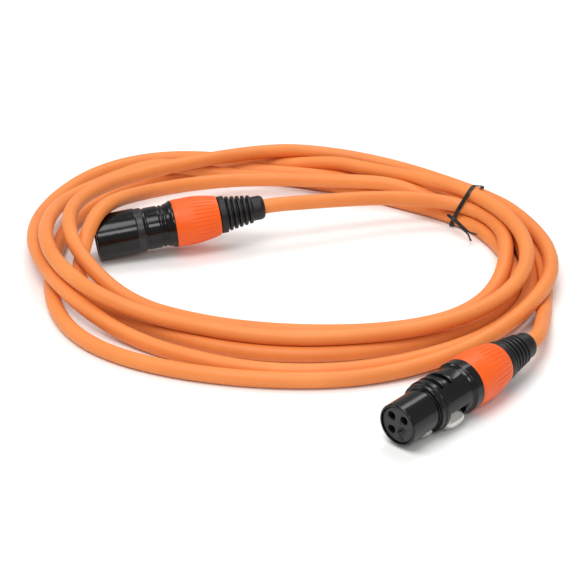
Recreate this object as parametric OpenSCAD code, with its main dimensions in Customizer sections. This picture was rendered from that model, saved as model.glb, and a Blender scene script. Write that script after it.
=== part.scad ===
// A coiled microphone cable: 3 m of round cable in five loose turns, with a male
// three-pin plug on one end and a female three-pin socket on the other.
// Millimetres, +Z up. The origin is on the surface the cable lies on, under the
// middle of the whole object.

/* [Cable] */
// Outside diameter of the cable
cable_d = 6.2; // [5.8:0.1:6.2]
// Outside diameter of one insulated core wire
core_d = 1.5; // [1.2:0.1:1.6]

/* [Coil] */
// Outside radius of the bundle of turns
coil_r = 108.5; // [104:0.5:112]
// Half the width of the open middle, along X
hole_half_x = 88; // [86:0.5:90]
// Half the width of the open middle, along Y
hole_half_y = 64; // [60:0.5:66]
// Height of the bundle of turns
coil_h = 18; // [16:0.5:20]

/* [Connector shells] */
// Inside radius of the male cup, which the female nose enters
cup_r = 8.15; // [8.05:0.05:8.25]
// Outside radius of the male cup
cup_outer_r = 9.45; // [9.2:0.05:9.6]
// Depth of the male cup, from its rim to the face of the insert
cup_depth = 16.5; // [15:0.5:17]
// Outside radius of the female nose
nose_r = 7.9; // [7.8:0.05:7.95]
// Length of the female nose
nose_len = 14.2; // [13:0.1:15]
// Outside radius of the female barrel
barrel_r = 8.6; // [8.3:0.1:8.8]
// Radius of the flange that the rear nut seats on
flange_r = 9.8; // [9.4:0.1:10]

/* [Contacts] */
// Radius of a male contact pin
pin_r = 1.19; // [1.15:0.01:1.2]
// Bore radius of a female contact
socket_r = 1.25; // [1.22:0.01:1.3]
// Radius of the circle that the contacts stand on
contact_circle_r = 3.9; // [3.8:0.1:4]

/* [Rear nut and boot] */
// Length of the coloured rear nut
nut_len = 19; // [18:0.5:20]
// Largest radius of the rear nut
nut_r = 10; // [9.8:0.1:10]
// Radius of the threaded neck that the nut turns on
neck_r = 7.93; // [7.9:0.01:7.95]
// Radial clearance between the nut and the parts it turns on
running_gap = 0.06; // [0.03:0.01:0.09]
// Number of ribs on the boot
boot_ribs = 5; // [4:1:5]
// Spacing of the ribs
rib_pitch = 2.2; // [2:0.1:2.3]
// How far the nut and boot back off before the nut leaves its thread
nut_travel = 3.75; // [3:0.25:3.75]

/* [Latch] */
// How far the push latch travels inward
latch_travel = 1.5; // [1:0.1:1.5]
// Width of the latch tongue
tongue_w = 4; // [3.5:0.1:4.2]
// Width of the push button
button_w = 6; // [5.5:0.1:6.4]

/* [Tie] */
// Width of the twist tie strap
tie_w = 1.8; // [1.4:0.1:2.4]
// Thickness of the twist tie strap
tie_t = 0.6; // [0.5:0.1:0.8]

/* [Hidden] */
round_fn = 96;
eps = 0.01;

// Where the coil and the two connectors lie. A pose is the centre of the
// connector's open face, then the roll, tilt and heading of its axis.
coil_centre = [0, 17.6, 0];
male_pose = [[-78.4, 22.5, 9.5], [0, -5.75, 12.5]];
female_pose = [[39.1, -123.1, 9.4], [134, -1, 47]];

// Stations along a connector, measured from its open face
male_flange_s = 33;
female_flange_s = 37;
hook_s = 8;
button_front_s = 18.3;
button_back_s = 28.3;
neck_len = 11.5;
chuck_len = 15.8;
boot_seat = 13;
boot_flange_len = 2.3;
nut_web_s = 15.6;
boot_neck_r = 6.25;
boot_bore_r = cable_d / 2 + 0.3;
collar_len = 3.1;
boot_end_len = 5.4;
boot_len = nut_len + collar_len + boot_ribs * rib_pitch + boot_end_len;
// From the flange to where the jacket is stripped from the cores
jacket_end = neck_len - 6;
jacket_back = 1;

// Angles of contacts 1, 2 and 3 round the axis, from the latch side
contact_angles = [90, -90, 180];
insert_r = 7.15;
insert_face_r = 6.95;
// Distance from the axis to the underside of the latch at rest
latch_low = 5.9;
latch_floor = latch_low - latch_travel - 0.2;
spring_s = 21.5;
solder_cup_r = 0.8;
contact_r = 1.75;
contact_front_s = 2;
male_cup_s = 30;
female_cup_s = 28;
pin_seat_r = pin_r + 0.35;
rear_bore_r = 7.2;

// Free stretches of the cable from each boot to the coil, chosen by hand
male_lead_points = [
    [6, 41, 17.6], [15, 44.5, 17.2], [23.5, 47.3, 16.6], [32, 49.8, 16],
    [40.5, 51.8, 15.4], [49, 53.7, 14.6], [58, 54.8, 13.5], [67, 54.5, 12.4]
];
female_lead_points = [
    [96.6, -60.6, 10.6], [98.4, -55.5, 10], [98.9, -49.5, 8.9], [98.4, -43, 7.4],
    [98, -36.5, 5.7], [98.2, -30, 4.3], [98.6, -24, 3.5]
];
straight_past_boot = nut_travel + jacket_end + 0.6;

tie_angle = 27;
tie_inner_r = 79;
tie_outer_r = 103;
tie_top = 16;

cable_colour = "#f58d3f";
nut_colour = "#ff6a28";
black = "#1b1b1d";
rubber = "#26262a";
silver = "#c9c9c4";
gold = "#c8a860";

// ---- placing and shaping -------------------------------------------------

// Puts a connector drawn along +Z, with its latch side towards -X, where it lies
module placed(pose) {
    translate(pose[0]) rotate(pose[1]) rotate([0, 90, 0]) children();
}

// Turns an outline of [radius, station] points round the connector's axis
module turned(outline) {
    rotate_extrude($fn = round_fn) polygon(outline);
}

module ring(outer, inner, from, to) {
    translate([0, 0, from]) difference() {
        cylinder(r = outer, h = to - from, $fn = round_fn);
        translate([0, 0, -eps]) cylinder(r = inner, h = to - from + 2 * eps, $fn = round_fn);
    }
}

// Everything on the latch side, between two heights from the axis
module latch_side(w, low, high, from, to) {
    translate([-high, -w / 2, from]) cube([high - low, w, to - from]);
}

function contact_xy(i) = contact_circle_r * [-cos(contact_angles[i]), sin(contact_angles[i])];

function turn_z(a) = [[cos(a), -sin(a), 0], [sin(a), cos(a), 0], [0, 0, 1]];
function turn_y(a) = [[cos(a), 0, sin(a)], [0, 1, 0], [-sin(a), 0, cos(a)]];
function axis_of(pose) = turn_z(pose[1][2]) * turn_y(pose[1][1]) * [1, 0, 0];
function station(pose, s) = pose[0] + s * axis_of(pose);

function unit(v) = v / norm(v);

// One closed tube along a list of points, none of whose legs is upright
module tube(points, radius, sides) {
    n = len(points);
    function tangent(i) = unit(points[min(i + 1, n - 1)] - points[max(i - 1, 0)]);
    function side(i) = unit(cross(tangent(i), [0, 0, 1]));
    function up(i) = cross(side(i), tangent(i));
    rim = [
        for (i = [0 : n - 1], k = [0 : sides - 1])
        let (a = 360 * k / sides)
        points[i] + radius * (cos(a) * side(i) + sin(a) * up(i))
    ];
    walls = [
        for (i = [0 : n - 2], k = [0 : sides - 1])
        let (a = i * sides + k, b = i * sides + (k + 1) % sides)
        each [[a, b, b + sides], [a, b + sides, a + sides]]
    ];
    start = [[for (k = [sides - 1 : -1 : 0]) k]];
    end = [[for (k = [0 : sides - 1]) (n - 1) * sides + k]];
    polyhedron(points = rim, faces = concat(walls, start, end), convexity = 4);
}

// ---- cable ---------------------------------------------------------------

// The open middle is the overlap of two large circles, longer along X than Y
module coil_hole() {
    big_r = (pow(hole_half_x, 2) + pow(hole_half_y, 2)) / (2 * hole_half_y);
    intersection() {
        translate([0, big_r - hole_half_y, -1]) cylinder(r = big_r, h = coil_h + 2, $fn = 180);
        translate([0, hole_half_y - big_r, -1]) cylinder(r = big_r, h = coil_h + 2, $fn = 180);
    }
}

// The turns are pulled together where the tie goes round them
module tie_slot(gap) {
    rotate(tie_angle) difference() {
        translate([hole_half_y, -tie_w / 2 - gap, -1]) cube([coil_r, tie_w + 2 * gap, coil_h + 2]);
        translate([tie_inner_r, -tie_w, tie_t]) cube([tie_outer_r - tie_inner_r, 2 * tie_w, tie_top - tie_t]);
    }
}

module cable_coil() {
    edge = 3;
    color(cable_colour) translate(coil_centre) difference() {
        rotate_extrude($fn = 180) polygon([
            [0, 0], [coil_r - edge, 0], [coil_r, edge],
            [coil_r, coil_h - edge], [coil_r - edge, coil_h], [0, coil_h]
        ]);
        coil_hole();
        tie_slot(0.2);
    }
}

module lead(pose, flange_s, points) {
    boot_end_s = flange_s + boot_len;
    first_s = flange_s + jacket_end - jacket_back;
    inside = [for (s = [first_s : 12 : boot_end_s - 2]) station(pose, s)];
    straight = [station(pose, boot_end_s + straight_past_boot)];
    color(cable_colour) tube(concat(inside, straight, points), cable_d / 2, 12);
}

module male_lead() lead(male_pose, male_flange_s, male_lead_points);
module female_lead() lead(female_pose, female_flange_s, female_lead_points);

module twist_tie() {
    tail = 7;
    color(black) translate(coil_centre) rotate(tie_angle) difference() {
        union() {
            translate([tie_inner_r - tie_t, -tie_w / 2, 0])
                cube([tie_outer_r - tie_inner_r + 2 * tie_t, tie_w, tie_top + tie_t]);
            translate([tie_inner_r - tail, -tie_w / 2, 6]) cube([tail, tie_w, tie_t]);
        }
        translate([tie_inner_r, -tie_w, tie_t]) cube([tie_outer_r - tie_inner_r, 2 * tie_w, tie_top - tie_t]);
    }
}

// ---- parts both connectors have -------------------------------------------

// The chuck grips the cable's jacket when the nut is screwed down
module chuck(flange_s) {
    front = flange_s + neck_len - chuck_len + 0.8;
    back = flange_s + neck_len + 0.8;
    jaw_len = 6.5;
    slot_w = 1.2;
    difference() {
        union() {
            ring(rear_bore_r - 0.05, 5.2, front, back - jaw_len);
            turned([
                [cable_d / 2, back - jaw_len - 1], [rear_bore_r - 0.05, back - jaw_len - 1],
                [rear_bore_r - 0.05, back - 2], [6.2, back], [cable_d / 2, back]
            ]);
        }
        for (a = [0 : 90 : 270]) rotate(a)
            translate([cable_d / 2 + 0.6, -slot_w / 2, back - jaw_len]) cube([6, slot_w, jaw_len + 1]);
    }
}

// Turns on the threaded neck, and pushes the boot and chuck forward
module nut(flange_s) {
    bore = neck_r + running_gap;
    color(nut_colour) translate([0, 0, flange_s]) turned([
        [bore, 0], [nut_r - 0.2, 0], [nut_r, 1.5], [nut_r, 8.5], [nut_r - 0.35, 12],
        [nut_r - 1.05, 15.8], [nut_r - 1.75, nut_len - 0.3], [nut_r - 2, nut_len],
        [boot_neck_r + running_gap, nut_len], [boot_neck_r + running_gap, nut_web_s],
        [bore, nut_web_s]
    ]);
}

function rib_r(i) = 7.2 - 1.2 * i / (boot_ribs - 1);

// The ribbed rubber boot, held in the nut by a flange
module boot(flange_s) {
    valley = 1.3;
    start = nut_len + collar_len;
    round_r = 1.6;
    end_r = 5.1;
    color(rubber) translate([0, 0, flange_s]) turned(concat(
        [
            [boot_bore_r, boot_seat], [neck_r - 0.4, boot_seat], [neck_r - 0.4, boot_seat + boot_flange_len],
            [boot_neck_r, boot_seat + boot_flange_len], [boot_neck_r, nut_len + 0.3],
            [7.6, nut_len + 0.3], [7.8, nut_len + 0.6], [7.8, start - 0.3], [7.6, start]
        ],
        [
            for (i = [0 : boot_ribs - 1], p = [[-valley, 0], [-valley, 0.6], [0, 0.9], [0, 1.9], [-0.2, rib_pitch]])
            [rib_r(i) + p[0], start + i * rib_pitch + p[1]]
        ],
        [[end_r, boot_len - boot_end_len + 0.3]],
        [for (a = [0 : 30 : 90]) [end_r - round_r + round_r * cos(a), boot_len - round_r + round_r * sin(a)]],
        [[boot_bore_r, boot_len]]
    ));
}

// One insulated core wire, from the cut end of the jacket to its solder cup
module core(flange_s, cup_s, i) {
    jacket_s = flange_s + jacket_end - jacket_back;
    a = contact_angles[i];
    cup = concat(contact_xy(i), [cup_s + 0.6]);
    root = [-cos(a), sin(a), jacket_s - 0.1];
    bends = [for (t = [0 : 0.25 : 1]) let (k = t * t * (3 - 2 * t)) [
        cup[0] + (root[0] - cup[0]) * k, cup[1] + (root[1] - cup[1]) * k, cup[2] + (root[2] - cup[2]) * t
    ]];
    axial_tube(bends, core_d / 2 * 0.95, 8);
}

// A tube whose rings all lie square to the connector's axis. It is one solid,
// because each piece shares a whole ring with the next.
module axial_tube(points, radius, sides) {
    for (i = [0 : len(points) - 2])
        hull() for (p = [points[i], points[i + 1]])
            translate(p) cylinder(r = radius, h = eps, $fn = sides);
}

// ---- male connector --------------------------------------------------------

module male_shell() {
    f = male_flange_s;
    ledge_r = 6.6;
    color(black) placed(male_pose) turned([
        [cup_r, 0], [cup_outer_r - 0.25, 0], [cup_outer_r, 0.3], [cup_outer_r, 17],
        [9.15, 17.3], [9.15, 19.9], [8.8, 20.2], [8.5, 21], [8.8, 21.7], [8.8, 26.6],
        [8.4, 26.9], [8.4, 27.6], [8.8, 27.9], [8.8, 28.3], [8.4, 28.6], [8.4, 29.3], [8.8, 29.6],
        [9.1, 30.8], [flange_r, f - 0.9], [flange_r, f], [neck_r, f], [neck_r, f + neck_len - 0.5],
        [neck_r - 0.4, f + neck_len], [rear_bore_r, f + neck_len], [rear_bore_r, cup_depth + 2.5],
        [ledge_r, cup_depth + 2.5], [ledge_r, cup_depth + 0.5], [cup_r, cup_depth + 0.5]
    ]);
}

module male_insert() {
    back = 26;
    color(rubber) placed(male_pose) difference() {
        union() {
            ring(6.55, 0, cup_depth, cup_depth + 2.6);
            ring(insert_r, 0, cup_depth + 2.55, back);
        }
        for (i = [0 : 2]) translate(contact_xy(i))
            translate([0, 0, cup_depth - 1]) cylinder(r = pin_seat_r + 0.02, h = back, $fn = 48);
    }
}

// A turned pin with a domed tip and a solder cup at the back
module male_pin(i) {
    tip = 2;
    cup_s = male_cup_s;
    color(silver) placed(male_pose) translate(contact_xy(i)) difference() {
        turned([
            [0, tip], [0.6, tip + 0.1], [pin_r, tip + 0.9], [pin_r, cup_depth - 0.3],
            [pin_seat_r, cup_depth], [pin_seat_r, cup_s], [0, cup_s]
        ]);
        translate([0, 0, cup_s - 3]) cylinder(r = solder_cup_r, h = 4, $fn = 32);
    }
}

module male_core(i, colour) {
    color(colour) placed(male_pose) core(male_flange_s, male_cup_s, i);
}

module male_chuck() { color("#3a3a3e") placed(male_pose) chuck(male_flange_s); }
module male_nut() { placed(male_pose) nut(male_flange_s); }
module male_boot() { placed(male_pose) boot(male_flange_s); }

// ---- female connector --------------------------------------------------------

module female_shell() {
    f = female_flange_s;
    fin_r = 9.6;
    color(black) placed(female_pose) difference() {
        union() {
            turned([
                [7.0, 0], [nose_r - 0.35, 0], [nose_r, 0.35], [nose_r, hook_s - 0.3],
                [nose_r - 0.3, hook_s - 0.1], [nose_r - 0.3, nose_len],
                [9.0, nose_len + 0.1], [9.2, nose_len + 0.4], [9.2, nose_len + 1.8],
                [fin_r - 0.2, nose_len + 2], [fin_r, nose_len + 2.3], [fin_r, nose_len + 4], [barrel_r, nose_len + 4.4],
                [barrel_r, f - 4.3], [flange_r, f - 3.7], [flange_r, f], [neck_r, f],
                [neck_r, f + neck_len - 0.5], [neck_r - 0.4, f + neck_len], [rear_bore_r, f + neck_len],
                [rear_bore_r, nose_len], [7.0, nose_len]
            ]);
            for (s = [20, 24.6]) difference() {
                ring(fin_r, rear_bore_r, s, s + 1.4);
                latch_side(30, -3, 12, s - 1, s + 3);
            }
        }
        latch_side(tongue_w + 0.4, 4, 12, hook_s - 0.2, nose_len + eps);
        latch_side(tongue_w + 0.4, 4, 7.7, nose_len, button_front_s - 0.5);
        latch_side(button_w + 0.4, 4, 12, button_front_s - 0.7, button_back_s + 0.7);
        latch_side(11, 7, 12, button_front_s - 0.7, button_back_s + 0.7);
    }
}

module female_insert() {
    back = 24;
    color(rubber) placed(female_pose) difference() {
        union() {
            ring(insert_face_r, 0, 0.5, nose_len + 0.1);
            ring(insert_r, 0, nose_len + 0.05, back);
        }
        for (i = [0 : 2]) translate(contact_xy(i)) {
            cylinder(r = socket_r + 0.4, h = back, $fn = 48);
            translate([0, 0, contact_front_s]) cylinder(r = contact_r + 0.03, h = back, $fn = 32);
        }
        latch_side(tongue_w + 0.6, latch_floor, 12, hook_s - 0.8, back + 1);
        latch_side(button_w + 0.6, latch_floor, 12, button_front_s - 1.1, back + 1);
        translate([-4.5, 0, spring_s]) rotate([0, 90, 0]) cylinder(r = 1.5, h = 2.2, $fn = 32);
    }
}

// A tube that takes one male pin, with a solder cup at the back
module female_contact(i) {
    front = contact_front_s;
    back = female_cup_s;
    color(gold) placed(female_pose) translate(contact_xy(i)) difference() {
        translate([0, 0, front]) cylinder(r = contact_r, h = back - front, $fn = 48);
        translate([0, 0, front - 1]) cylinder(r = socket_r, h = 15, $fn = 48);
        translate([0, 0, back - 3]) cylinder(r = solder_cup_r, h = 4, $fn = 32);
    }
}

module female_core(i, colour) {
    color(colour) placed(female_pose) core(female_flange_s, female_cup_s, i);
}

// The push button and the tongue that hooks into the male cup, in one piece
module female_latch() {
    color(silver) placed(female_pose) {
        latch_side(tongue_w, latch_low, 7.4, hook_s, button_front_s + 0.1);
        latch_side(tongue_w, 7.3, 8.5, hook_s, hook_s + 2.8);
        intersection() {
            latch_side(button_w, latch_low, 12, button_front_s, button_back_s);
            translate([-3.4, 0, (button_front_s + button_back_s) / 2]) sphere(r = 7.9, $fn = 64);
            translate([-7.2, 0, button_front_s - 0.5]) cylinder(r = 4.2, h = 11, $fn = 64);
        }
    }
}

module female_latch_spring() {
    turns = 4;
    wire_r = 0.22;
    coil_mean_r = 1.1;
    low = 2.55;
    high = latch_low - 0.25;
    steps = 10;
    n = turns * steps;
    color(silver) placed(female_pose) translate([0, 0, spring_s]) rotate([0, -90, 0])
        axial_helix(coil_mean_r, wire_r, low, high, n, steps);
}

module axial_helix(mean_r, wire_r, low, high, n, steps) {
    function at(i) = [
        mean_r * cos(360 * i / steps), mean_r * sin(360 * i / steps), low + (high - low) * i / n
    ];
    tube([for (i = [0 : n]) at(i)], wire_r, 6);
}

module female_chuck() { color("#3a3a3e") placed(female_pose) chuck(female_flange_s); }
module female_nut() { placed(female_pose) nut(female_flange_s); }
module female_boot() { placed(female_pose) boot(female_flange_s); }

// ---- the whole object ------------------------------------------------------

cable_coil();
male_lead();
female_lead();
twist_tie();
male_shell();
male_insert();
male_pin(0);  // male_pin_1
male_pin(1);  // male_pin_2
male_pin(2);  // male_pin_3
male_core(0, "#9a9a96");  // male_core_drain
male_core(1, "#b03030");  // male_core_red
male_core(2, "#e6e2d8");  // male_core_white
male_chuck();
male_nut();
male_boot();
female_shell();
female_insert();
female_contact(0);  // female_contact_1
female_contact(1);  // female_contact_2
female_contact(2);  // female_contact_3
female_core(0, "#9a9a96");  // female_core_drain
female_core(1, "#b03030");  // female_core_red
female_core(2, "#e6e2d8");  // female_core_white
female_latch();
female_latch_spring();
female_chuck();
female_nut();
female_boot();
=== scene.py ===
"""A coiled orange microphone cable with a male and a female three-pin connector.

Lengths are written in millimetres and turned into metres where a mesh or curve is made.
The camera's and the lights' distances are in metres.
"""

import math

import bmesh
import bpy
import numpy as np
from mathutils import Matrix, Vector


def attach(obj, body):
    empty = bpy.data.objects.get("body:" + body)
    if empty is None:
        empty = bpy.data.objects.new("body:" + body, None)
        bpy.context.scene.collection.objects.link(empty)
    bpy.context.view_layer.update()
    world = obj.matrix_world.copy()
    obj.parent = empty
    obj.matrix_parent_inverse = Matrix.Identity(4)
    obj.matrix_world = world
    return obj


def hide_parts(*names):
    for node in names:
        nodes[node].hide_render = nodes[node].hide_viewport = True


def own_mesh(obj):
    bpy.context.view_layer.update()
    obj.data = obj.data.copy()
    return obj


MM = 0.001

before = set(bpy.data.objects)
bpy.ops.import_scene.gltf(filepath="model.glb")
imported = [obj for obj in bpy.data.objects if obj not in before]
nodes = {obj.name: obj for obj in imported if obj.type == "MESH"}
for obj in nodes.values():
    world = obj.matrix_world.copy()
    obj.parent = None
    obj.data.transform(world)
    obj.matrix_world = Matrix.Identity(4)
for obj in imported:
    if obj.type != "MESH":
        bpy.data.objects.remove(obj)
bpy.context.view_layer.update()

# ---- sizes and places, the same as the CAD's -------------------------------

CABLE_R = 3.1
COIL_CENTRE = np.array([0, 17.6])
MALE_POSE = ((-78.4, 22.5, 9.5), (0, -5.75, 12.5))
FEMALE_POSE = ((39.1, -123.1, 9.4), (134, -1, 47))
MALE_FLANGE = 33
FEMALE_FLANGE = 37
MALE_LENGTH = 71.5
FEMALE_LENGTH = 75.5
CUP_R = 8.15
CUP_OUTER_R = 9.45
CUP_DEPTH = 16.5
NOSE_R = 7.9
NOSE_LEN = 14.2
BARREL_R = 8.6
FIN_R = 9.6
FLANGE_R = 9.8
NECK_R = 7.93
NECK_LEN = 11.5
REAR_BORE_R = 7.2
THREAD_PITCH = 1.25
CONTACT_CIRCLE_R = 3.9
CONTACT_ANGLES = (90, -90, 180)
NUT_LEN = 19
NUT_R = 10
NUT_WEB = 15.6
BOOT_NECK_R = 6.25
BOOT_BORE_R = 3.4
BOOT_SEAT = 13
BOOT_LEN = 38.5
BOOT_RIBS = 5
RIB_PITCH = 2.2
TONGUE_W = 4
BUTTON_W = 6
HOOK_S = 8
BUTTON_FRONT_S = 18.3
BUTTON_BACK_S = 28.3
BUTTON_MIDDLE_S = (BUTTON_FRONT_S + BUTTON_BACK_S) / 2
LATCH_LOW = 5.9
SPRING_S = 21.5


def pose_matrix(pose):
    """Turns a connector drawn along +Z, latch side towards -X, to where it lies."""
    place, (roll, tilt, heading) = pose
    return (
        Matrix.Translation(Vector(place) * MM)
        @ Matrix.Rotation(math.radians(heading), 4, "Z")
        @ Matrix.Rotation(math.radians(tilt), 4, "Y")
        @ Matrix.Rotation(math.radians(roll), 4, "X")
        @ Matrix.Rotation(math.radians(90), 4, "Y")
    )


def station(pose, s):
    """The point on a connector's axis that is s from its open face."""
    return np.array(pose_matrix(pose) @ Vector((0, 0, s * MM))) / MM


# ---- camera ----------------------------------------------------------------


def add_camera():
    """A long lens, 28 degrees above the table."""
    elevation = math.radians(28)
    distance = 0.768
    target = Vector((0.0021, -0.0052, 0))
    back = Vector((0, -math.cos(elevation), math.sin(elevation)))
    data = bpy.data.cameras.new("camera")
    data.sensor_width = 36
    data.lens = 118.06
    camera = bpy.data.objects.new("camera", data)
    camera.location = target + back * distance
    camera.rotation_euler = (math.radians(90) - elevation, 0, 0)
    bpy.context.scene.collection.objects.link(camera)
    bpy.context.scene.camera = camera


add_camera()

# ---- the cable's route -----------------------------------------------------

# Free stretches from each boot to the coil
MALE_LEAD = [
    (6, 41, 17.6), (15, 44.5, 17.2), (23.5, 47.3, 16.6), (32, 49.8, 16),
    (40.5, 51.8, 15.4), (49, 53.7, 14.6), (58, 54.8, 13.5), (67, 54.5, 12.4),
]
FEMALE_LEAD = [
    (93.9, -63.2, 10.7), (95.3, -57.5, 10.3), (96.1, -51, 9.7), (96.7, -44, 8.7), (97.4, -36, 7.3),
    (98.3, -28, 5.8),
]
# Each turn clockwise, as (angle from +X in degrees, radius, height of the cable's middle)
TURNS = [
    [
        (30, 91, 10.5), (15, 91.5, 10), (0, 91.5, 9.3), (341, 90, 6), (315, 80, 3.5), (298, 70, 3),
        (270, 62, 3), (247, 63, 3), (225, 67.5, 3), (206, 74, 6), (198, 80, 11), (184, 85, 20),
        (172, 89, 19.5), (158, 91, 17.5), (135, 88, 14.5), (116, 86, 13.5), (103, 88, 12.5),
        (90, 94, 10.5), (75, 97.5, 8.5), (59, 100.5, 6.5), (45, 100.5, 6),
    ],
    [
        (30, 97.5, 8.5), (15, 101.5, 9.3), (0, 107, 9.3), (340, 110, 9.3), (325, 108, 9.3),
        (315, 104, 7), (295, 99.5, 5), (270, 98.5, 3), (240, 100.5, 3), (225, 104, 3),
        (204, 99.5, 3), (190, 95.5, 3), (179, 94.5, 3), (166, 96.5, 3), (150, 98.5, 3),
        (135, 98, 3), (110, 90, 3), (90, 84, 3), (65, 86, 3), (45, 91, 3),
    ],
    [
        (20, 97, 3), (0, 101.5, 3), (340, 103, 3), (315, 101, 3), (285, 97.5, 3), (270, 93.5, 3),
        (249, 90, 3), (234, 88, 4), (221, 92, 7), (212, 95.5, 11), (196, 97.5, 12.5),
        (183, 101.5, 10.5), (173, 106, 9), (157, 112, 6), (140, 119, 3), (126, 119, 3),
        (115, 113, 3), (101, 97, 3.5), (86, 89, 5.5), (73, 83, 8.5), (58, 79, 10.5),
        (43, 81, 12.5), (31, 85, 14.5),
    ],
    [
        (22, 89, 15.6), (10, 94.5, 15.6), (0, 96.5, 15.6), (340, 100.5, 15.6), (327, 98.5, 13.5),
        (313, 93.5, 12.5), (301, 85, 10.5), (288, 81, 9.3), (260, 78, 9.3), (245, 77, 9.3),
        (229, 79, 10.5), (218, 90, 15.5), (205, 94.5, 18.5), (190, 96.5, 18.5), (177, 98.5, 16.5),
        (164, 100.5, 13.5), (153, 105, 9.5), (141, 107, 6), (120, 93.5, 3), (96, 82, 3),
        (85, 76, 3), (71, 74, 3), (53, 74, 4), (40, 79, 4), (30, 84, 4),
    ],
    [
        (20, 88, 3), (10, 89, 3), (0, 90, 3), (337, 99, 3), (320, 93.5, 3), (301, 85, 3),
        (288, 82, 3), (274, 80, 3), (245, 78, 3), (228, 78, 3), (213, 82, 3), (205, 85.5, 4),
        (200, 88.5, 3.5), (194, 88.5, 5.5), (188.7, 87, 8.5), (183.8, 84.5, 13), (181, 81, 18.5),
        (178.5, 76.7, 22.2), (173.5, 73.5, 22.2),
        (165.6, 70.8, 20.5), (157, 69.9, 18.5), (149, 69.2, 17), (140, 69.3, 15), (131, 70.8, 12.5),
        (114, 71.5, 9.5), (103, 70, 9.3), (84, 66.5, 9.3), (61, 68.5, 8.5),
        (40, 81, 6.5), (20, 96.5, 3), (8, 101, 3),
    ],
    [(356, 103.5, 3), (344, 104.5, 3.2), (339, 106, 4.6)],
]
TURN_STEP = 5  # degrees between the points of the planned turns
STEP = 2.5  # spacing of the points that the cable is settled with
INSIDE_BOOT = 8  # how far each end of the cable runs inside its boot
PAST_BOOT = 3  # how far the cable runs on straight, so that the boot can slide back
HELD = 5  # points at each end that stay on the connector's axis
EASED = 9  # points after them that even out the bend

# Outlines of the connectors as (stations, radii), for the cable to stay outside
MALE_PROFILE = (
    (-4, 0, 19, 22, 29, 33, 45, 53, 57, 68, 72),
    (9.4, 9.45, 9.4, 8.8, 8.8, 9.8, 10, 8.2, 7.5, 5.5, 5.2),
)
FEMALE_PROFILE = (
    (-4, 0, 14, 14.5, 32.5, 33.5, 48.5, 56.5, 60.5, 71.5, 75.5),
    (7.9, 7.9, 7.9, 9.6, 9.6, 10, 10, 8.2, 7.5, 5.5, 5.2),
)


def smooth_curve(at, values, wanted):
    """Values between the given ones, on one smooth curve."""
    slope = np.gradient(values, at, axis=0)
    k = np.clip(np.searchsorted(at, wanted, side="right") - 1, 0, len(at) - 2)
    gap = at[k + 1] - at[k]
    t = (wanted - at[k]) / gap
    if values.ndim > 1:
        gap, t = gap[:, None], t[:, None]
    return (
        (2 * t**3 - 3 * t**2 + 1) * values[k]
        + (t**3 - 2 * t**2 + t) * gap * slope[k]
        + (3 * t**2 - 2 * t**3) * values[k + 1]
        + (t**3 - t**2) * gap * slope[k + 1]
    )


def distance_along(points):
    """How far along the line each of its points is."""
    return np.r_[0, np.cumsum(np.linalg.norm(np.diff(points, axis=0), axis=1))]


def coil_turns():
    """Evenly spaced points round all the turns."""
    angles, radii, heights = [], [], []
    laps = 0
    last = TURNS[0][0][0] + 1
    for turn in TURNS:
        for angle, radius, height in turn:
            while angle - 360 * laps >= last:
                laps += 1
            last = angle - 360 * laps
            angles.append(-last)
            radii.append(radius)
            heights.append(height)
    angles = np.array(angles, float)
    wanted = np.arange(angles[0], angles[-1], TURN_STEP)
    r = smooth_curve(angles, np.array(radii, float), wanted)
    z = smooth_curve(angles, np.array(heights, float), wanted)
    a = np.radians(-wanted)
    return np.stack([COIL_CENTRE[0] + r * np.cos(a), COIL_CENTRE[1] + r * np.sin(a), z], 1)


def cable_route():
    """The planned line of the cable, from inside the male boot to inside the female one."""
    first = [station(MALE_POSE, MALE_LENGTH + s) for s in (-INSIDE_BOOT, -4, 0, PAST_BOOT)]
    last = [station(FEMALE_POSE, FEMALE_LENGTH + s) for s in (PAST_BOOT, 0, -4, -INSIDE_BOOT)]
    points = np.vstack([first, MALE_LEAD, coil_turns()[1:], FEMALE_LEAD[::-1], last])
    along = distance_along(points)
    fine_step = 0.5
    fine = smooth_curve(along, points, np.arange(0, along[-1], fine_step))
    along = distance_along(fine)
    wanted = np.linspace(0, along[-1], int(round(along[-1] / STEP)) + 1)
    return np.stack([np.interp(wanted, along, fine[:, k]) for k in range(3)], 1)


def direction(vectors):
    """The same vectors, each of length 1."""
    return vectors / np.linalg.norm(vectors, axis=-1, keepdims=True)


def shared(moves, times):
    """Spreads each point's move over its neighbours, as a stiff cable does."""
    for _ in range(times):
        softer = moves.copy()
        softer[1:-1] = 0.25 * moves[:-2] + 0.5 * moves[1:-1] + 0.25 * moves[2:]
        moves = softer
    return moves


def straighten(points, reach):
    """Evens out the bend over a length of the cable that reach sets."""
    steps = np.arange(2 * reach, 0, -1)[:, None]
    longer = np.vstack([
        points[0] - steps * (points[1] - points[0]),
        points,
        points[-1] + steps[::-1] * (points[-1] - points[-2]),
    ])
    bend = 0.5 * (longer[: -2 * reach] + longer[2 * reach :]) - longer[reach:-reach]
    share = 0.25
    return points + share * (bend[reach:-reach] - 0.5 * (bend[: -2 * reach] + bend[2 * reach :]))


def push_from_connector(points, pose, profile):
    """Moves that take the cable out of a connector."""
    centre = station(pose, 0)
    axis = direction(station(pose, 1) - centre)
    offset = points - centre
    s = offset @ axis
    outward = offset - s[:, None] * axis
    distance = np.linalg.norm(outward, axis=1)
    needed = np.interp(s, *profile) + CABLE_R
    boot_tail = 6  # the cable comes out through it
    beside = (s > profile[0][0]) & (s < profile[0][-1] - boot_tail)
    inside = beside & (distance < needed)
    share = 0.6
    moves = np.zeros_like(points)
    moves[inside] = outward[inside] / distance[inside, None] * (needed - distance)[inside, None] * share
    return moves


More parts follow.
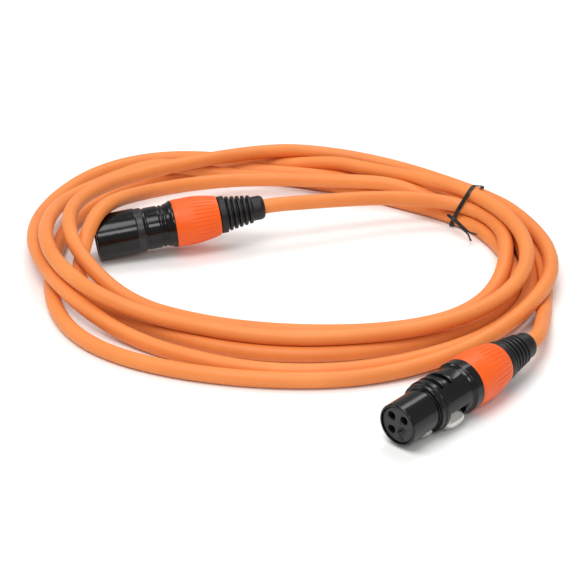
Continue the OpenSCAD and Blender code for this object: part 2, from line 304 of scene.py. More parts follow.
def push_apart(points, tangents, one, other):
    """Moves that take two stretches of cable out of each other."""
    gap = points[other] - points[one]
    lengthwise = (gap * tangents[one]).sum(1)
    across = gap - lengthwise[:, None] * tangents[one]
    distance = np.linalg.norm(across, axis=1)
    side_by_side = np.abs(lengthwise) < 0.75 * STEP
    hit = side_by_side & (distance < 2 * CABLE_R)
    tiny = 1e-6
    push = across[hit] / np.maximum(distance[hit], tiny)[:, None]
    push *= (CABLE_R - distance[hit] / 2)[:, None]
    moves = np.zeros_like(points)
    count = np.zeros(len(points))
    np.add.at(moves, other[hit], push)
    np.add.at(moves, one[hit], -push)
    np.add.at(count, other[hit], 1)
    np.add.at(count, one[hit], 1)
    return moves / np.maximum(count, 1)[:, None]


def ease_out(points):
    """Bends the cable evenly where it comes out of its first boot."""
    near = slice(HELD, HELD + EASED)
    points = points.copy()
    for _ in range(300):
        points[near] = straighten(points[: HELD + EASED + 4], 1)[near]
    return points


def strands_close_together(points):
    """Pairs of points, not near each other along the cable, that may come to touch."""
    reach = 2 * CABLE_R + 3.5
    steps_apart = 8
    squares = ((points[:, None] - points[None]) ** 2).sum(-1)
    one, other = np.nonzero(squares < reach**2)
    apart = other - one > steps_apart
    return one[apart], other[apart]


def even_spacing(points):
    """Draws the points back towards STEP apart."""
    share = 0.3
    leg = np.diff(points, axis=0)
    length = np.linalg.norm(leg, axis=1)
    change = leg * ((length - STEP) / length)[:, None] * share
    points[:-1] += change
    points[1:] -= change


def settle(plan, rounds=500):
    """Lets the cable sink, bend smoothly and lie on itself, near the planned line."""
    sink = 0.03
    upright_pull = 0.02
    overshoot = 1.3
    points = plan.copy()
    for i in range(rounds):
        if i % 10 == 0:
            one, other = strands_close_together(points)
        tangents = direction(np.gradient(points, axis=0))
        for reach in (1, 2, 4, 1):
            points = straighten(points, reach)
        level_pull = 0.01 + 0.04 * max(0, 1 - i / (0.8 * rounds))
        moves = (plan - points) * [level_pull, level_pull, upright_pull]
        moves[:, 2] -= sink
        points = points + shared(moves, 2)
        for _ in range(3):
            moves = push_apart(points, tangents, one, other)
            moves += push_from_connector(points, MALE_POSE, MALE_PROFILE)
            moves += push_from_connector(points, FEMALE_POSE, FEMALE_PROFILE)
            moves[:HELD] = 0
            moves[-HELD:] = 0
            points = points + overshoot * shared(moves, 3)
            points[:, 2] = np.maximum(points[:, 2], CABLE_R)
        for _ in range(2):
            even_spacing(points)
        points[:HELD] = plan[:HELD]
        points[-HELD:] = plan[-HELD:]
    return ease_out(ease_out(points)[::-1])[::-1]


cable_line = settle(cable_route())

# ---- materials -------------------------------------------------------------


def colour(r, g, b):
    """A colour given as it looks on screen, from 0 to 255."""
    linear = [((c / 255 + 0.055) / 1.055) ** 2.4 if c > 10 else c / 255 / 12.92 for c in (r, g, b)]
    return (*linear, 1)


def new_material(name, base, rough, metal=0, specular=0.5):
    material = bpy.data.materials.new(name)
    material.use_nodes = True
    shader = material.node_tree.nodes["Principled BSDF"]
    shader.inputs["Base Color"].default_value = base
    shader.inputs["Roughness"].default_value = rough
    shader.inputs["Metallic"].default_value = metal
    shader.inputs["Specular IOR Level"].default_value = specular
    return material, shader


def add_noise(material, scale, detail=4, stretch=(1, 1, 1)):
    """Noise over the object's own coordinates, per metre."""
    tree = material.node_tree
    place = tree.nodes.new("ShaderNodeTexCoord")
    mapping = tree.nodes.new("ShaderNodeMapping")
    mapping.inputs["Scale"].default_value = stretch
    noise = tree.nodes.new("ShaderNodeTexNoise")
    noise.inputs["Scale"].default_value = scale
    noise.inputs["Detail"].default_value = detail
    tree.links.new(place.outputs["Object"], mapping.inputs["Vector"])
    tree.links.new(mapping.outputs["Vector"], noise.inputs["Vector"])
    return noise


def vary_colour(material, shader, noise, dark, light):
    tree = material.node_tree
    ramp = tree.nodes.new("ShaderNodeValToRGB")
    ramp.color_ramp.elements[0].position = 0.3
    ramp.color_ramp.elements[0].color = dark
    ramp.color_ramp.elements[1].position = 0.7
    ramp.color_ramp.elements[1].color = light
    tree.links.new(noise.outputs["Fac"], ramp.inputs["Fac"])
    tree.links.new(ramp.outputs["Color"], shader.inputs["Base Color"])


def vary_roughness(material, shader, noise, low, high):
    tree = material.node_tree
    spread = tree.nodes.new("ShaderNodeMapRange")
    spread.inputs["From Min"].default_value = 0.3
    spread.inputs["From Max"].default_value = 0.7
    spread.inputs["To Min"].default_value = low
    spread.inputs["To Max"].default_value = high
    tree.links.new(noise.outputs["Fac"], spread.inputs["Value"])
    tree.links.new(spread.outputs["Result"], shader.inputs["Roughness"])


def add_bump(material, shader, noise, strength, height):
    tree = material.node_tree
    bump = tree.nodes.new("ShaderNodeBump")
    bump.inputs["Strength"].default_value = strength
    bump.inputs["Distance"].default_value = height * MM
    tree.links.new(noise.outputs["Fac"], bump.inputs["Height"])
    tree.links.new(bump.outputs["Normal"], shader.inputs["Normal"])


def finish_material(
    name, dark, light, rough, grain, bump, metal=0, specular=0.5, stretch=(1, 1, 1)
):
    """A material whose colour and gloss drift slowly, with a fine surface grain."""
    material, shader = new_material(name, light, rough[0], metal, specular)
    slow = add_noise(material, 45)
    vary_colour(material, shader, slow, dark, light)
    fine = add_noise(material, grain, 6, stretch)
    vary_roughness(material, shader, fine, *rough)
    add_bump(material, shader, fine, bump, 0.1)
    return material


jacket = finish_material(
    "cable_jacket", colour(224, 129, 63), colour(232, 138, 70), (0.42, 0.56), 1400, 0.25, specular=0.35
)
shell_gloss = finish_material(
    "shell_black", colour(7, 7, 7), colour(11, 11, 12), (0.13, 0.2), 900, 0.05, specular=0.35
)
shell_satin = finish_material(
    "shell_satin", colour(17, 17, 18), colour(25, 25, 26), (0.3, 0.4), 1600, 0.15
)
insert_plastic = finish_material(
    "insert_black", colour(20, 20, 22), colour(27, 27, 29), (0.42, 0.55), 1500, 0.2
)
nut_plastic = finish_material(
    "nut_orange", colour(236, 90, 18), colour(243, 99, 24), (0.34, 0.46), 1300, 0.15, specular=0.35
)
boot_rubber = finish_material(
    "boot_rubber", colour(10, 10, 11), colour(16, 16, 18), (0.4, 0.52), 1200, 0.3, specular=0.4
)
latch_steel = finish_material(
    "latch_steel", colour(196, 195, 190), colour(214, 213, 208), (0.26, 0.4), 900, 0.15,
    metal=1, stretch=(1, 1, 6),
)
contact_silver = finish_material(
    "contact_silver", colour(200, 200, 198), colour(222, 222, 220), (0.2, 0.32), 900, 0.1, metal=1
)
# The contacts' gold is painted far darker than real gold: painted shade, so that the three holes in the
# insert's face look as dark as the shade inside them.
contact_gold = finish_material(
    "contact_gold", colour(66, 56, 40), colour(84, 72, 52), (0.35, 0.5), 900, 0.1, metal=1
)
chuck_grey = finish_material(
    "chuck_grey", colour(48, 48, 52), colour(60, 60, 64), (0.45, 0.58), 1200, 0.25
)
core_red = finish_material(
    "core_red", colour(160, 36, 34), colour(176, 44, 40), (0.35, 0.45), 900, 0.15
)
core_white = finish_material(
    "core_white", colour(222, 216, 204), colour(234, 229, 218), (0.35, 0.45), 900, 0.15
)
drain_wire = finish_material(
    "drain_wire", colour(150, 148, 144), colour(176, 174, 170), (0.3, 0.42), 1800, 0.4,
    metal=1, stretch=(3, 3, 1),
)
tie_plastic = finish_material(
    "tie_black", colour(11, 9, 8), colour(19, 16, 15), (0.3, 0.42), 1200, 0.2, specular=0.35
)
NODE_FINISH = {
    "male_insert": insert_plastic,
    "male_pin": contact_silver,
    "chuck": chuck_grey,
    "contact": contact_gold,
    "core_red": core_red,
    "core_white": core_white,
    "core_drain": drain_wire,
}
for name, node in nodes.items():
    for part, finish in NODE_FINISH.items():
        if part in name:
            node.data.materials.clear()
            node.data.materials.append(finish)

# ---- mesh building ---------------------------------------------------------


def new_piece(name, points, faces, material, place=Matrix.Identity(4), sharp=42):
    """A mesh object from points in millimetres, smooth but for edges sharper than an angle."""
    mesh = bpy.data.meshes.new(name)
    mesh.from_pydata([tuple(float(c) * MM for c in p) for p in points], [], faces)
    clean = bmesh.new()
    clean.from_mesh(mesh)
    bmesh.ops.remove_doubles(clean, verts=clean.verts, dist=1e-7)
    bmesh.ops.recalc_face_normals(clean, faces=clean.faces)
    clean.to_mesh(mesh)
    clean.free()
    mesh.transform(place)
    mesh.materials.append(material)
    piece = bpy.data.objects.new(name, mesh)
    bpy.context.scene.collection.objects.link(piece)
    shade(piece, sharp)
    return piece


def shade(piece, sharp):
    """Smooth shading, but for edges sharper than an angle."""
    mesh = piece.data
    mesh.polygons.foreach_set("use_smooth", [True] * len(mesh.polygons))
    mesh.set_sharp_from_angle(angle=math.radians(sharp))
    if "even_normals" not in piece.modifiers:
        even = piece.modifiers.new("even_normals", "WEIGHTED_NORMAL")
        even.keep_sharp = True


def soften(outline, radius=0.2, steps=3):
    """Rounds every corner of a closed outline."""
    rounded = []
    for i in range(len(outline)):
        before, corner, after = (Vector(outline[k % len(outline)]) for k in (i - 1, i, i + 1))
        back, on = before - corner, after - corner
        reach = min(radius, 0.45 * back.length, 0.45 * on.length)
        start = corner + back.normalized() * reach
        end = corner + on.normalized() * reach
        for k in range(steps + 1):
            t = k / steps
            rounded.append(tuple((1 - t) ** 2 * start + 2 * t * (1 - t) * corner + t * t * end))
    return rounded


def divided(outline, longest):
    """Adds points to a closed outline, so that no leg is longer than given."""
    fine = []
    for i, here in enumerate(outline):
        there = outline[(i + 1) % len(outline)]
        parts = max(1, math.ceil(math.dist(here, there) / longest))
        for k in range(parts):
            t = k / parts
            fine.append((here[0] + (there[0] - here[0]) * t, here[1] + (there[1] - here[1]) * t))
    return fine


def turned(outline, sides=128, relief=None):
    """Points and faces of a closed (radius, station) outline turned round the axis."""
    points = []
    for radius, s in outline:
        for k in range(sides):
            a = 2 * math.pi * k / sides
            r = radius + (relief(a, radius, s) if relief else 0)
            points.append((-r * math.cos(a), r * math.sin(a), s))
    return points, grid_faces(len(outline), sides)


def grid_faces(rows, columns, wrap_rows=True):
    """Quads between rows of points, each row a closed ring."""
    faces = []
    for i in range(rows if wrap_rows else rows - 1):
        below = ((i + 1) % rows) * columns
        for k in range(columns):
            on = (k + 1) % columns
            faces.append((i * columns + k, i * columns + on, below + on, below + k))
    return faces


def box_points(low, high):
    """A box on the latch side: (height, across, station) of two opposite corners."""
    points = [
        (-h, w, s) for h in (low[0], high[0]) for w in (low[1], high[1]) for s in (low[2], high[2])
    ]
    faces = [(0, 1, 3, 2), (4, 6, 7, 5), (0, 4, 5, 1), (2, 3, 7, 6), (0, 2, 6, 4), (1, 5, 7, 3)]
    return points, faces


def oval_prism(middle_s, half_len, half_across, low, high, sides=64):
    """An upright oval block on the latch side, long along the axis."""
    points = []
    for height in (low, high):
        for k in range(sides):
            a = 2 * math.pi * k / sides
            points.append((-height, half_across * math.sin(a), middle_s + half_len * math.cos(a)))
    faces = grid_faces(2, sides, wrap_rows=False)
    faces += [tuple(range(sides)), tuple(range(2 * sides - 1, sides - 1, -1))]
    return points, faces


def combine(piece, shapes, operation, edge=0.0, sharp=42):
    """Cuts shapes from a piece or joins them to it, then rounds the new edges."""
    for shape in shapes:
        tool = new_piece("tool", *shape, piece.data.materials[0])
        change = piece.modifiers.new("change", "BOOLEAN")
        change.operation = operation
        change.solver = "EXACT"
        change.object = tool
        piece.modifiers.remove(piece.modifiers["even_normals"])
        depsgraph = bpy.context.evaluated_depsgraph_get()
        made = bpy.data.meshes.new_from_object(piece.evaluated_get(depsgraph))
        piece.modifiers.clear()
        piece.data = made
        bpy.data.objects.remove(tool)
        shade(piece, sharp)
    if edge:
        soft_edge = piece.modifiers.new("soft_edge", "BEVEL")
        soft_edge.width = edge * MM
        soft_edge.segments = 2
        soft_edge.limit_method = "ANGLE"
        soft_edge.angle_limit = math.radians(sharp)
        soft_edge.harden_normals = False


def sweep(path, section, sideways, closed):
    """A section of (across, out) points carried along a path; sideways holds its across directions."""
    path = np.array(path, float)
    sideways = direction(np.array(sideways, float))
    if closed:
        ahead = np.roll(path, -1, axis=0) - np.roll(path, 1, axis=0)
    else:
        ahead = np.gradient(path, axis=0)
    ahead = direction(ahead)
    across = direction(sideways - (sideways * ahead).sum(1)[:, None] * ahead)
    out = np.cross(ahead, across)
    points = [
        path[i] + w * across[i] + h * out[i] for i in range(len(path)) for w, h in section
    ]
    faces = grid_faces(len(path), len(section), wrap_rows=closed)
    if not closed:
        count = len(section)
        faces.append(tuple(range(count)))
        faces.append(tuple(range((len(path) - 1) * count, len(path) * count)))
    return points, faces


def finish_piece(piece, body, slot, *replaced):
    """Says which body a piece rides on and the CAD nodes it stands for; the material slot is not used.
    """
    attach(piece, body)
    if replaced:
        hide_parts(*replaced)
    return piece


# ---- parts that both connectors have ---------------------------------------


def thread_relief(flange):
    """A helical thread cut into the neck that the nut turns on."""
    thread_depth = 0.45

    def relief(angle, radius, s):
        on_neck = flange + 1 < s < flange + NECK_LEN - 0.8 and radius > REAR_BORE_R + 0.3
        if not on_neck:
            return 0
        phase = (s / THREAD_PITCH - angle / (2 * math.pi)) % 1
        return -thread_depth * abs(2 * phase - 1)

    return relief


def shell_with_thread(outline, flange):
    """Adds the rings that the thread needs to a shell's outline."""
    fine = []
    for i, here in enumerate(outline):
        fine.append(here)
        there = outline[(i + 1) % len(outline)]
        if here[0] == NECK_R and there[0] == NECK_R and here[1] >= flange:
            stations = np.arange(here[1] + 0.8, there[1] - 0.6, THREAD_PITCH / 8)
            fine += [(NECK_R, float(s)) for s in stations]
    return fine


def smooth_step(low, high, value):
    """Rises smoothly from 0 at low to 1 at high."""
    t = min(1, max(0, (value - low) / (high - low)))
    return t * t * (3 - 2 * t)


def nut_piece(name, body, pose, flange):
    """The coloured nut, with narrow flutes that fade towards its front."""
    flutes = 34
    flute_depth = 0.24
    bore = NECK_R + 0.06
    web_bore = BOOT_NECK_R + 0.06

    def relief(angle, radius, s):
        if radius < NECK_R + 0.4:
            return 0
        s = s - flange
        groove = max(0, math.cos(flutes * angle)) ** 5
        reach = smooth_step(4.5, 10, s) * (1 - smooth_step(17.2, 18.4, s))
        return -flute_depth * groove * reach

    outline = soften([
        (bore, 0), (NUT_R - 0.2, 0), (NUT_R, 1.5), (NUT_R, 8.5), (NUT_R - 0.35, 12),
        (NUT_R - 1.05, 15.8), (NUT_R - 1.75, NUT_LEN - 0.3), (NUT_R - 2, NUT_LEN),
        (web_bore, NUT_LEN), (web_bore, NUT_WEB), (bore, NUT_WEB),
    ], 0.35)
    outline = [(r, s + flange) for r, s in divided(outline, 0.8)]
    shape = turned(outline, flutes * 10, relief)
    piece = new_piece(name, *shape, nut_plastic, pose_matrix(pose), sharp=60)
    return finish_piece(piece, body, "nut_orange", name.replace("_piece", ""))


def boot_piece(name, body, pose, flange):
    """The ribbed rubber boot."""
    start = NUT_LEN + 3.1
    outline = [
        (BOOT_BORE_R, BOOT_SEAT), (NECK_R - 0.4, BOOT_SEAT), (NECK_R - 0.4, BOOT_SEAT + 2.3),
        (BOOT_NECK_R, BOOT_SEAT + 2.3), (BOOT_NECK_R, NUT_LEN + 0.3), (7.6, NUT_LEN + 0.3),
        (7.8, NUT_LEN + 0.6), (7.8, start - 0.3), (7.55, start),
    ]
    for i in range(BOOT_RIBS):
        rib = 7.2 - 1.2 * i / (BOOT_RIBS - 1)
        s = start + i * RIB_PITCH
        groove = rib - 1.35
        outline += [
            (groove, s + 0.1), (groove, s + 0.6), (rib, s + 0.85), (rib, s + 1.9),
            (rib - 0.5, s + 2.15),
        ]
    outline += [
        (5.1, BOOT_LEN - 5.1), (5.1, BOOT_LEN - 1.6), (4.6, BOOT_LEN - 0.5), (3.9, BOOT_LEN),
        (BOOT_BORE_R, BOOT_LEN),
    ]
    outline = [(r, s + flange) for r, s in soften(outline, 0.3, 4)]
    piece = new_piece(name, *turned(outline, 96), boot_rubber, pose_matrix(pose), sharp=60)
    return finish_piece(piece, body, "boot_rubber", name.replace("_piece", ""))


# ---- male connector --------------------------------------------------------


def male_shell_piece():
    """The deep cup, the satin band behind it, the grooved waist and the threaded neck."""
    f = MALE_FLANGE
    ledge_r = 6.6
    outline = soften([
        (CUP_R, 0), (CUP_OUTER_R - 0.25, 0), (CUP_OUTER_R, 0.35), (CUP_OUTER_R, 17),
        (9.15, 17.3), (9.15, 19.9), (8.8, 20.2), (8.5, 21), (8.8, 21.7), (8.8, 26.6),
        (8.4, 26.9), (8.4, 27.6), (8.8, 27.9), (8.8, 28.3), (8.4, 28.6), (8.4, 29.3), (8.8, 29.6),
        (9.1, 31), (FLANGE_R, f - 0.9), (FLANGE_R, f), (NECK_R, f), (NECK_R, f + NECK_LEN - 0.5),
        (NECK_R - 0.4, f + NECK_LEN), (REAR_BORE_R, f + NECK_LEN), (REAR_BORE_R, CUP_DEPTH + 2.5),
        (ledge_r, CUP_DEPTH + 2.5), (ledge_r, CUP_DEPTH + 0.5), (CUP_R, CUP_DEPTH + 0.5),
    ], 0.25)
    outline = shell_with_thread(outline, f)
    shape = turned(outline, 144, thread_relief(f))
    piece = new_piece("male_shell_piece", *shape, shell_gloss, sharp=50)
    piece.data.materials.append(shell_satin)
    band_from, band_to, band_r = 17.2, 20, 8.9
    for face in piece.data.polygons:
        radius = math.hypot(face.center.x, face.center.y)
        if band_from < face.center.z / MM < band_to and radius > band_r * MM:
            face.material_index = 1
    piece.data.transform(pose_matrix(MALE_POSE))
    return finish_piece(piece, "coil", "shell_black", "male_shell")


male_shell_piece()
nut_piece("male_nut_piece", "male_nut", MALE_POSE, MALE_FLANGE)
boot_piece("male_boot_piece", "male_boot", MALE_POSE, MALE_FLANGE)

# ---- female connector ------------------------------------------------------


def fin(s):
    """A narrow raised ring, to be cut away on the latch side."""
    inner = REAR_BORE_R + 0.4
    outline = [
        (inner, s), (FIN_R - 0.15, s), (FIN_R, s + 0.2), (FIN_R, s + 1.2),
        (FIN_R - 0.15, s + 1.4), (inner, s + 1.4),
    ]
    return turned(soften(outline, 0.15, 2), 96)


def female_shell_piece():
    """The nose, the double ring, the barrel with two fins, and the recess round the button."""
    f = FEMALE_FLANGE
    n = NOSE_LEN
    outline = soften([
        (7.0, 0), (NOSE_R - 0.35, 0), (NOSE_R, 0.4), (NOSE_R, n),
        (9.0, n + 0.1), (9.2, n + 0.4), (9.2, n + 1.7), (8.95, n + 1.85),
        (FIN_R - 0.2, n + 2.1), (FIN_R, n + 2.4), (FIN_R, n + 4), (BARREL_R, n + 4.5),
        (BARREL_R, f - 5.2), (9.1, f - 4.4), (FLANGE_R, f - 3.7), (FLANGE_R, f), (NECK_R, f),
        (NECK_R, f + NECK_LEN - 0.5), (NECK_R - 0.4, f + NECK_LEN), (REAR_BORE_R, f + NECK_LEN),
        (REAR_BORE_R, n), (7.0, n),
    ], 0.22)
    outline = shell_with_thread(outline, f)
    shape = turned(outline, 144, thread_relief(f))
    piece = new_piece("female_shell_piece", *shape, shell_gloss, sharp=50)
    fin_stations = (20, 24.6)
    for s in fin_stations:
        ring = new_piece("fin", *fin(s), shell_gloss)
        combine(ring, [box_points((-3, -15, s - 1), (12, 15, s + 3))], "DIFFERENCE")
        corners = [tuple(v.co / MM) for v in ring.data.vertices]
        shape = (corners, [tuple(face.vertices) for face in ring.data.polygons])
        combine(piece, [shape], "UNION")
        bpy.data.objects.remove(ring)
    tongue = TONGUE_W / 2 + 0.2
    button = BUTTON_W / 2 + 0.2
    cuts = [
        box_points((4, -tongue, HOOK_S - 0.2), (12, tongue, n)),
        box_points((4, -tongue, n - 0.1), (7.7, tongue, BUTTON_FRONT_S)),
        box_points((4, -button, BUTTON_FRONT_S - 0.7), (12, button, BUTTON_BACK_S + 0.7)),
        oval_prism(BUTTON_MIDDLE_S, half_len=6.3, half_across=6.5, low=6.8, high=13),
    ]
    combine(piece, cuts, "DIFFERENCE", edge=0.14)
    piece.data.transform(pose_matrix(FEMALE_POSE))
    return finish_piece(piece, "coil", "shell_black", "female_shell")


def female_insert_piece():
    """The insert, with three lead-in holes and a keyway moulded into its face."""
    back = 24
    outline = soften([
        (0, 0.5), (6.5, 0.5), (6.9, 0.8), (6.9, NOSE_LEN), (7.15, NOSE_LEN), (7.15, back), (0, back),
    ], 0.1, 2)
    piece = new_piece("female_insert_piece", *turned(outline, 96), insert_plastic, sharp=40)
    cuts = []
    for angle in CONTACT_ANGLES:
        x = -CONTACT_CIRCLE_R * math.cos(math.radians(angle))
        y = CONTACT_CIRCLE_R * math.sin(math.radians(angle))
        hole = [
            (0, -1), (1.95, -1), (1.65, 0.9), (1.65, 2), (1.78, 2.01), (1.78, back + 1),
            (0, back + 1),
        ]
        points, faces = turned(hole, 48)
        cuts.append(([(px + x, py + y, pz) for px, py, pz in points], faces))
    channel = TONGUE_W / 2 + 0.3
    window = BUTTON_W / 2 + 0.3
    pocket_r = 1.5
    latch_room = [
        box_points((4.2, -channel, HOOK_S - 0.8), (12, channel, back + 1)),
        box_points((4.2, -window, BUTTON_FRONT_S - 1.1), (12, window, back + 1)),
        oval_prism(SPRING_S, pocket_r, pocket_r, low=2.3, high=4.5),
    ]
    keyway_line = [
        box_points((2.0, -2.05, 0), (2.5, 1.9, 1.6)),
        box_points((2.5, -2.05, 0), (5.6, -1.6, 1.6)),
    ]
    combine(piece, cuts + latch_room + keyway_line, "DIFFERENCE")
    piece.data.transform(pose_matrix(FEMALE_POSE))
    return finish_piece(piece, "coil", "insert_black", "female_insert")


def squarer(value):
    """Turns a circle's sine or cosine into that of a round-cornered rectangle."""
    squareness = 0.72
    return math.copysign(abs(value) ** squareness, value)


def latch_piece():
    """The push button and the tongue with its hook, in one piece of steel."""
    profile = [
        (HOOK_S, LATCH_LOW), (HOOK_S, 7.6), (HOOK_S + 0.9, 8.5), (HOOK_S + 2.4, 8.5),
        (HOOK_S + 2.8, 8.2), (HOOK_S + 2.8, 7.4), (BUTTON_FRONT_S + 0.5, 7.4),
        (BUTTON_FRONT_S + 0.5, LATCH_LOW),
    ]
    half = TONGUE_W / 2
    count = len(profile)
    points = [(-h, w, s) for w in (-half, half) for s, h in profile]
    faces = [tuple(range(count)), tuple(range(2 * count - 1, count - 1, -1))]
    faces += [(k, (k + 1) % count, count + (k + 1) % count, count + k) for k in range(count)]
    piece = new_piece("female_latch_piece", points, faces, latch_steel, sharp=30)
    half_len = (BUTTON_BACK_S - BUTTON_FRONT_S) / 2
    half_w = BUTTON_W / 2
    rows = [
        (0, LATCH_LOW), (1, LATCH_LOW), (1, 9), (0.985, 9.4), (0.94, 9.85), (0.86, 10.25),
        (0.72, 10.7), (0.54, 11.05), (0.33, 11.25), (0.12, 11.34), (0, 11.35),
    ]
    sides = 64
    button = []
    for share, height in rows:
        for k in range(sides):
            a = 2 * math.pi * k / sides
            across = half_w * share * squarer(math.sin(a))
            along = half_len * share * squarer(math.cos(a))
            button.append((-height, across, BUTTON_MIDDLE_S + along))
    shape = (button, grid_faces(len(rows), sides, wrap_rows=False))
    combine(piece, [shape], "UNION", edge=0.12, sharp=30)
    piece.data.transform(pose_matrix(FEMALE_POSE))
    return finish_piece(piece, "female_latch", "latch_steel", "female_latch")


def latch_spring_piece():
    """The coil spring under the button."""
    turns = 4
    coil_r = 1.1
    wire_r = 0.22
    low = 2.55
    high = LATCH_LOW - 0.25
    path, sideways = [], []
    for a in np.linspace(0, 2 * math.pi * turns, 24 * turns + 1):
        height = low + (high - low) * a / (2 * math.pi * turns)
        path.append((-height, coil_r * math.sin(a), SPRING_S + coil_r * math.cos(a)))
        sideways.append((0, math.sin(a), math.cos(a)))
    wire = [(wire_r * math.cos(a), wire_r * math.sin(a)) for a in np.linspace(0, 2 * math.pi, 13)[:-1]]
    place = pose_matrix(FEMALE_POSE)
    points, faces = sweep(path, wire, sideways, False)
    piece = new_piece("female_latch_spring_piece", points, faces, latch_steel, place)
    finish_piece(piece, "coil", "latch_steel", "female_latch_spring")
    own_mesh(piece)
    return piece


female_pieces = [
    female_shell_piece(),
    female_insert_piece(),
    latch_piece(),
    latch_spring_piece(),
    nut_piece("female_nut_piece", "female_nut", FEMALE_POSE, FEMALE_FLANGE),
    boot_piece("female_boot_piece", "female_boot", FEMALE_POSE, FEMALE_FLANGE),
]

# ---- the cable -------------------------------------------------------------


def cable_piece(points):
    """A round curve through the points, with flat ends."""
    curve = bpy.data.curves.new("cable", "CURVE")
    curve.dimensions = "3D"
    curve.bevel_depth = CABLE_R * MM
    curve.bevel_resolution = 8
    curve.use_fill_caps = True
    spline = curve.splines.new("POLY")
    spline.points.add(len(points) - 1)
    for point, place in zip(spline.points, points):
        point.co = (*(place * MM), 1)
    spline.use_smooth = True
    curve.materials.append(jacket)
    piece = bpy.data.objects.new("cable", curve)
    bpy.context.scene.collection.objects.link(piece)
    return finish_piece(piece, "coil", "cable_jacket", "cable_coil", "male_lead", "female_lead")


cable_piece(cable_line)

# ---- twist tie -------------------------------------------------------------

TIE_MIDDLE = np.array([74.2, 50])
TIE_DIRECTION = direction(np.array([0.46, 0.89]))
TIE_ACROSS = np.array([-TIE_DIRECTION[1], TIE_DIRECTION[0]])
TIE_LEAN = 0.4  # how far the strap leans along the cable, per unit of height
TIE_LEAN_FROM = 10
TIE_TAIL = np.array([(69.3, 44.6, 9.5), (71.3, 42, 9), (75.5, 38.6, 6), (79.8, 36, 3)])
TIE_HALF_W = 0.85
TIE_HALF_T = 0.25
# A flat strap with thinner edges, and a ridge along its middle where the wire runs
TIE_SECTION = [
    (-TIE_HALF_W, -TIE_HALF_T * 0.6), (-0.35, -TIE_HALF_T), (0.35, -TIE_HALF_T),
    (TIE_HALF_W, -TIE_HALF_T * 0.6), (TIE_HALF_W, TIE_HALF_T * 0.6), (0.4, TIE_HALF_T),
    (0.15, TIE_HALF_T * 1.7), (-0.15, TIE_HALF_T * 1.7), (-0.4, TIE_HALF_T),
    (-TIE_HALF_W, TIE_HALF_T * 0.6),
]


def tie_loop():
    """The strap's line round the strands that cross its leaning plane."""
    bundle_reach = 40
    steepest = 0.4
    grown = CABLE_R + TIE_HALF_T + 0.3
    offset = cable_line[:, :2] - TIE_MIDDLE
    lean = TIE_LEAN * (cable_line[:, 2] - TIE_LEAN_FROM)
    reach = offset @ TIE_DIRECTION
    in_bundle = np.abs(reach[:-1]) < bundle_reach
    rim = []
    for shift in (-TIE_HALF_W, 0, TIE_HALF_W):
        side = offset @ TIE_ACROSS + lean + shift
        for i in np.nonzero((side[:-1] * side[1:] <= 0) & in_bundle)[0]:
            t = side[i] / (side[i] - side[i + 1])
            middle = reach[i] + t * (reach[i + 1] - reach[i])
            height = cable_line[i, 2] + t * (cable_line[i + 1, 2] - cable_line[i, 2])
            ahead = direction(cable_line[i + 1, :2] - cable_line[i, :2])
            stretch = 1 / max(steepest, abs(ahead @ TIE_ACROSS))
            for a in np.linspace(0, 2 * math.pi, 24, endpoint=False):
                rim.append((middle + grown * stretch * math.cos(a), height + grown * math.sin(a)))
    floor_gap = TIE_HALF_T + 0.02
    return [(u, max(z, floor_gap)) for u, z in outer_loop(sorted(rim))]


def outer_loop(points):
    """The convex outline round sorted flat points."""

    def half(ordered):
        kept = []
        for p in ordered:
            while len(kept) > 1:
                (ax, ay), (bx, by) = kept[-2:]
                if (bx - ax) * (p[1] - ay) - (by - ay) * (p[0] - ax) > 0:
                    break
                kept.pop()
            kept.append(p)
        return kept[:-1]

    return half(points) + half(points[::-1])


def tie_strap():
    """The flat strap, drawn tight round the bundle."""
    hull = np.array(tie_loop())
    closed = np.vstack([hull, hull[:1]])
    along = distance_along(closed)
    wanted = np.linspace(0, along[-1], 161)[:-1]
    flat = np.stack([np.interp(wanted, along, closed[:, k]) for k in range(2)], 1)
    for _ in range(3):
        flat = 0.25 * np.roll(flat, 1, axis=0) + 0.5 * flat + 0.25 * np.roll(flat, -1, axis=0)
    path = []
    for u, z in flat:
        lean = TIE_LEAN * (z - TIE_LEAN_FROM)
        path.append((*(TIE_MIDDLE + u * TIE_DIRECTION - lean * TIE_ACROSS), z))
    points, faces = sweep(path, TIE_SECTION, [(*TIE_ACROSS, 0)] * len(path), True)
    strap = new_piece("twist_tie_strap", points, faces, tie_plastic, sharp=60)
    finish_piece(strap, "coil", "tie_black", "twist_tie")


def tail_line():
    """The line of the twisted tail, outside the cable and above the floor."""
    along = distance_along(TIE_TAIL)
    line = smooth_curve(along, TIE_TAIL, np.linspace(0, along[-1], 61))
    clear = CABLE_R + 1.0
    lowest = 1.2
    for _ in range(30):
        for i, here in enumerate(line):
            away = here - cable_line
            gaps = np.linalg.norm(away, axis=1)
            nearest = int(gaps.argmin())
            if gaps[nearest] < clear:
                line[i] = here + away[nearest] / gaps[nearest] * (clear - gaps[nearest])
        line[1:-1] = 0.25 * line[:-2] + 0.5 * line[1:-1] + 0.25 * line[2:]
        line[:, 2] = np.maximum(line[:, 2], lowest)
    return line


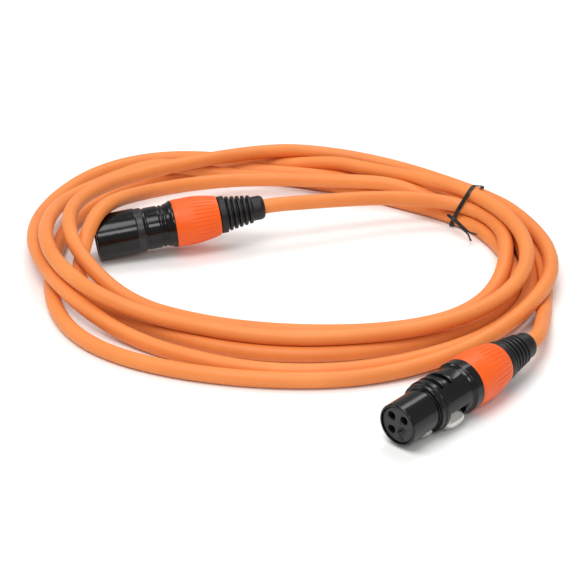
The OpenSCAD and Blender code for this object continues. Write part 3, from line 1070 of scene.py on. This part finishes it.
def tie_tail():
    """Two strands twisted together, splayed into a small fork at the end."""
    turn_len = 5.0
    twist_r = 0.42
    fork_from = 0.78
    splay = 1.3
    section = [(w * 0.8, h) for w, h in TIE_SECTION]
    line = tail_line()
    along = distance_along(line)
    ahead = direction(np.gradient(line, axis=0))
    side = direction(np.cross(ahead, (0, 0, 1)))
    up = np.cross(side, ahead)
    for strand in (0, 1):
        path, sideways = [], []
        for i, place in enumerate(line):
            t = along[i] / along[-1]
            turn = 2 * math.pi * min(t, fork_from) * along[-1] / turn_len + math.pi * strand
            out = math.cos(turn) * side[i] + math.sin(turn) * up[i]
            path.append(place + out * (twist_r + splay * smooth_step(fork_from, 1, t)))
            sideways.append(-math.sin(turn) * side[i] + math.cos(turn) * up[i])
        name = f"twist_tie_tail_{strand + 1}"
        tail = new_piece(name, *sweep(path, section, sideways, False), tie_plastic, sharp=60)
        finish_piece(tail, "coil", "tie_black")


tie_strap()
tie_tail()

# ---- floor and light -------------------------------------------------------


def add_floor():
    half = 3000
    points = [(-half, -half, 0), (half, -half, 0), (half, half, 0), (-half, half, 0)]
    material, _ = new_material("floor", colour(244, 244, 243), 0.6, specular=0.2)
    floor = new_piece("floor", points, [(0, 1, 2, 3)], material)
    floor.modifiers.clear()


def add_softbox(name, azimuth, elevation, distance, size, power):
    """A square soft light that faces the object. Azimuth 0 is on the camera's side."""
    a, e = math.radians(azimuth), math.radians(elevation)
    back = Vector((math.sin(a) * math.cos(e), -math.cos(a) * math.cos(e), math.sin(e)))
    data = bpy.data.lights.new(name, "AREA")
    data.size = size
    data.energy = power
    lamp = bpy.data.objects.new(name, data)
    lamp.location = back * distance
    lamp.rotation_euler = back.to_track_quat("Z", "Y").to_euler()
    bpy.context.scene.collection.objects.link(lamp)


def add_world(strength):
    world = bpy.data.worlds.new("studio")
    world.use_nodes = True
    background = world.node_tree.nodes["Background"]
    background.inputs["Color"].default_value = (1, 1, 1, 1)
    background.inputs["Strength"].default_value = strength
    bpy.context.scene.world = world


add_floor()
add_world(strength=0.45)
add_softbox("key", azimuth=-30, elevation=68, distance=1.4, size=0.8, power=11.6)
add_softbox("front", azimuth=12, elevation=40, distance=1.3, size=0.3, power=2.4)
add_softbox("left", azimuth=-100, elevation=32, distance=1.4, size=0.4, power=2.2)
add_softbox("back", azimuth=160, elevation=60, distance=1.5, size=0.7, power=7.5)
bpy.context.scene.view_settings.view_transform = "Standard"
